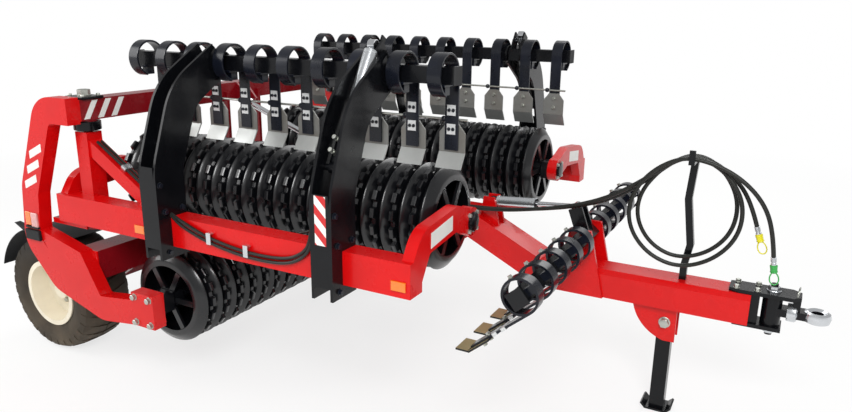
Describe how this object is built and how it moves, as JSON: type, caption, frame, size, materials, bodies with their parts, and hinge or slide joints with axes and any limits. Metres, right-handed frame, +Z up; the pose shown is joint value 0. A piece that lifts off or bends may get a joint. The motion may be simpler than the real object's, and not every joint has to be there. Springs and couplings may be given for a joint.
{
  "type": "folding land roller",
  "caption": "Towed three-section ring roller folded for the road, with sprung levelling boards, two wheels and a parking leg.",
  "frame": {"origin": "on the ground, below the middle of the folded machine's outline", "axes": "+X forwards to the towing eye, +Y to the machine's left, +Z up"},
  "size_m": [4.8408, 2.84, 2.061],
  "materials": {
    "red_paint": "gloss",
    "black_iron": "satin",
    "black_paint": "satin",
    "zinc_plate": "satin",
    "cream_paint": "satin",
    "tyre_rubber": "matte",
    "chrome_rod": "gloss",
    "black_plastic": "matte",
    "hose_rubber": "matte",
    "green_plastic": "satin"
  },
  "bodies": {
    "main_frame": {"main_frame": "red_paint", "hitch": "black_paint", "hose_post": "black_paint", "hose_inner": "hose_rubber", "hose_outer": "hose_rubber", "hose_couplers": "green_plastic"},
    "parking_leg": {"parking_leg": "black_paint"},
    "rear_frame": {"rear_frame": "red_paint", "centre_bearings": "black_iron", "mudguard_right": "black_plastic", "mudguard_left": "black_plastic"},
    "centre_gang": {"centre_rings": "black_iron", "centre_shaft": "black_paint"},
    "centre_board": {"centre_tube": "black_paint", "centre_tines": "black_paint"},
    "tip_barrel": {"tip_barrel": "black_paint"},
    "tip_rod": {"tip_rod": "chrome_rod"},
    "centre_barrel": {"centre_barrel": "black_paint"},
    "centre_rod": {"centre_rod": "chrome_rod"},
    "wheel_right": {"tyre_right": "tyre_rubber", "rim_right": "cream_paint"},
    "wing_right": {"wing_beam_right": "red_paint", "wing_bearings_right": "black_iron", "booms_right": "black_paint", "wing_pipes_right": "hose_rubber"},
    "wing_gang_right": {"wing_rings_right": "black_iron", "wing_shaft_right": "black_paint"},
    "board_right": {"board_tube_right": "black_paint", "board_tines_right": "black_paint", "board_plates_right": "zinc_plate"},
    "board_barrel_right": {"board_barrel_right": "black_paint"},
    "board_rod_right": {"board_rod_right": "chrome_rod"},
    "wheel_left": {"tyre_left": "tyre_rubber", "rim_left": "cream_paint"},
    "wing_left": {"wing_beam_left": "red_paint", "wing_bearings_left": "black_iron", "booms_left": "black_paint", "wing_pipes_left": "hose_rubber"},
    "wing_gang_left": {"wing_rings_left": "black_iron", "wing_shaft_left": "black_paint"},
    "board_left": {"board_tube_left": "black_paint", "board_tines_left": "black_paint", "board_plates_left": "zinc_plate"},
    "board_barrel_left": {"board_barrel_left": "black_paint"},
    "board_rod_left": {"board_rod_left": "chrome_rod"}
  },
  "joints": [
    {"name": "tip", "type": "hinge", "parent": "main_frame", "child": "rear_frame", "pos_m": [-1.45, 0, 1.1], "axis": [0, 1, 0], "range_deg": [0, 90]},
    {"name": "parking_leg_fold", "type": "hinge", "parent": "main_frame", "child": "parking_leg", "pos_m": [1.64, 0, 0.55], "axis": [0, 1, 0], "range_deg": [0, 85]},
    {"name": "centre_gang_roll", "type": "hinge", "parent": "rear_frame", "child": "centre_gang", "pos_m": [-0.95, 0, 0.56], "axis": [0, 1, 0], "continuous": true},
    {"name": "centre_board_tilt", "type": "hinge", "parent": "main_frame", "child": "centre_board", "pos_m": [1.15, 0, 0.96], "axis": [0, -1, 0], "range_deg": [0, 45]},
    {"name": "tip_cylinder_swing", "type": "hinge", "parent": "main_frame", "child": "tip_barrel", "pos_m": [-0.15, 0, 1.1], "axis": [0, -1, 0], "range_deg": [0, 27.27]},
    {"name": "tip_cylinder_stroke", "type": "slide", "parent": "tip_barrel", "child": "tip_rod", "axis": [-0.9363, 0, 0.3511], "range_m": [-0.42574, 0]},
    {"name": "centre_cylinder_swing", "type": "hinge", "parent": "main_frame", "child": "centre_barrel", "pos_m": [0.56, 0, 1.08], "axis": [0, -1, 0], "range_deg": [-10.79, 0]},
    {"name": "centre_cylinder_stroke", "type": "slide", "parent": "centre_barrel", "child": "centre_rod", "axis": [0.9972, 0, 0.0753], "range_m": [-0.09428, 0]},
    {"name": "wheel_right_roll", "type": "hinge", "parent": "rear_frame", "child": "wheel_right", "pos_m": [-2, -1.09, 0.39], "axis": [0, 1, 0], "continuous": true},
    {"name": "wing_right_fold", "type": "hinge", "parent": "rear_frame", "child": "wing_right", "pos_m": [-1.465, -1.215, 0.965], "axis": [0, 0, -1], "range_deg": [0, 90]},
    {"name": "wing_gang_right_roll", "type": "hinge", "parent": "wing_right", "child": "wing_gang_right", "pos_m": [-1.533, -0.7, 1.16], "axis": [1, 0, 0], "continuous": true},
    {"name": "board_right_tilt", "type": "hinge", "parent": "wing_right", "child": "board_right", "pos_m": [-1.38, -0.88, 1.905], "axis": [1, 0, 0], "range_deg": [0, 80]},
    {"name": "board_cylinder_right_swing", "type": "hinge", "parent": "wing_right", "child": "board_barrel_right", "pos_m": [-1.38, -1.3, 1.505], "axis": [1, 0, 0], "range_deg": [-7.7, 0]},
    {"name": "board_cylinder_right_stroke", "type": "slide", "parent": "board_barrel_right", "child": "board_rod_right", "axis": [0, 0.5286, 0.8489], "range_m": [-0.19088, 0]},
    {"name": "wheel_left_roll", "type": "hinge", "parent": "rear_frame", "child": "wheel_left", "pos_m": [-2, 1.09, 0.39], "axis": [0, 1, 0], "continuous": true},
    {"name": "wing_left_fold", "type": "hinge", "parent": "rear_frame", "child": "wing_left", "pos_m": [-1.465, 1.215, 0.965], "axis": [0, 0, 1], "range_deg": [0, 90]},
    {"name": "wing_gang_left_roll", "type": "hinge", "parent": "wing_left", "child": "wing_gang_left", "pos_m": [-1.533, 0.7, 1.16], "axis": [1, 0, 0], "continuous": true},
    {"name": "board_left_tilt", "type": "hinge", "parent": "wing_left", "child": "board_left", "pos_m": [-1.38, 0.88, 1.905], "axis": [-1, 0, 0], "range_deg": [0, 80]},
    {"name": "board_cylinder_left_swing", "type": "hinge", "parent": "wing_left", "child": "board_barrel_left", "pos_m": [-1.38, 1.3, 1.505], "axis": [-1, 0, 0], "range_deg": [-7.7, 0]},
    {"name": "board_cylinder_left_stroke", "type": "slide", "parent": "board_barrel_left", "child": "board_rod_left", "axis": [0, -0.5286, 0.8489], "range_m": [-0.19088, 0]}
  ],
  "couplings": [
    {"joint": "tip_cylinder_swing", "follows": "tip", "ratio": 0.30295},
    {"joint": "tip_cylinder_stroke", "follows": "tip", "m_per_rad": -0.27103},
    {"joint": "centre_cylinder_swing", "follows": "centre_board_tilt", "ratio": -0.23975},
    {"joint": "centre_cylinder_stroke", "follows": "centre_board_tilt", "m_per_rad": -0.12005},
    {"joint": "wing_right_fold", "follows": "tip", "ratio": 1},
    {"joint": "board_cylinder_right_swing", "follows": "board_right_tilt", "ratio": -0.096258},
    {"joint": "board_cylinder_right_stroke", "follows": "board_right_tilt", "m_per_rad": -0.13671},
    {"joint": "wing_left_fold", "follows": "tip", "ratio": 1},
    {"joint": "board_cylinder_left_swing", "follows": "board_left_tilt", "ratio": -0.096258},
    {"joint": "board_cylinder_left_stroke", "follows": "board_left_tilt", "m_per_rad": -0.13671}
  ]
}
